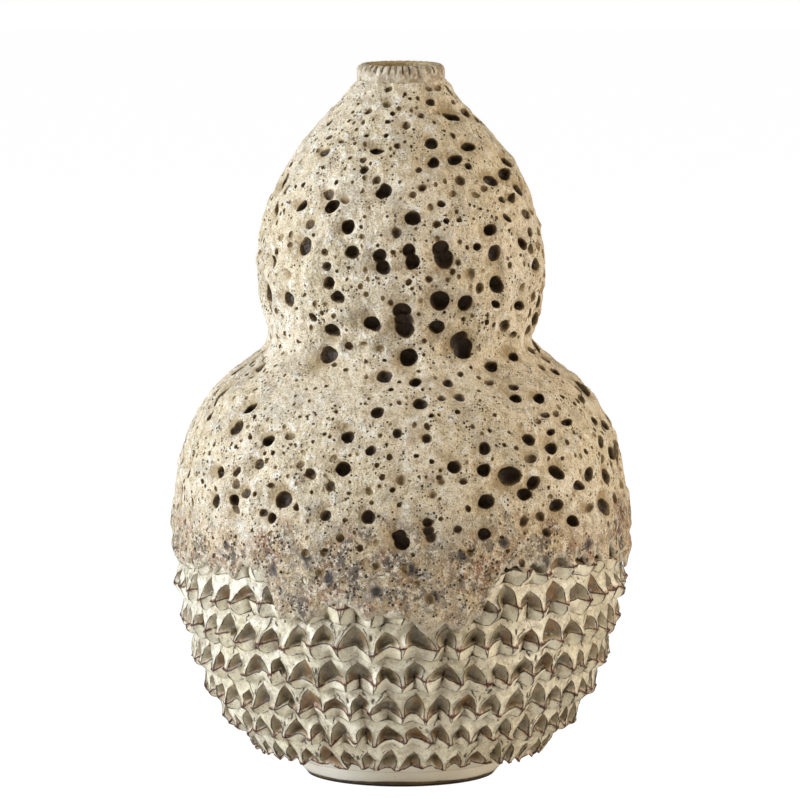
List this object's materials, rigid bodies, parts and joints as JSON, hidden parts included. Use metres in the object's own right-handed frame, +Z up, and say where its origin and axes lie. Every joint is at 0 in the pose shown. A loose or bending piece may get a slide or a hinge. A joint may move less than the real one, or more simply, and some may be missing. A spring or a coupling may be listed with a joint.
{
  "type": "gourd vase",
  "caption": "Stoneware vase of two bulbs on a low foot, with a narrow notched mouth, bubble craters above and a belt of pinched thorns below.",
  "frame": {"origin": "middle of the foot's standing face, on the surface the vase stands on", "axes": "+Z up along the vase's axis through the mouth, -Y towards the front, +X to the right seen from the front"},
  "size_m": [0.261, 0.261, 0.4],
  "materials": {
    "crater_glaze": "dry cream crater glaze, burst bubbles with dark brown insides",
    "thorn_glaze": "glossy grey cream glaze, breaking red brown on sharp edges",
    "foot_glaze": "smooth glossy grey cream glaze",
    "bare_clay": "bare fired stoneware, matte olive brown",
    "liner_glaze": "golden tan glaze inside the vase",
    "lip_glaze": "thin satin glaze, breaking brown over the nicks"
  },
  "bodies": {
    "root": {"foot_ring": "foot_glaze", "base_floor": "bare_clay", "lower_bowl": "liner_glaze", "thorn_course_1": "thorn_glaze", "thorn_course_2": "thorn_glaze", "thorn_course_3": "thorn_glaze", "thorn_course_4": "thorn_glaze", "thorn_course_5": "thorn_glaze", "thorn_course_6": "thorn_glaze", "thorn_course_7": "thorn_glaze", "lower_shoulder": "crater_glaze", "upper_bowl": "crater_glaze", "upper_dome": "crater_glaze", "neck": "crater_glaze", "notched_lip": "lip_glaze"}
  },
  "joints": []
}
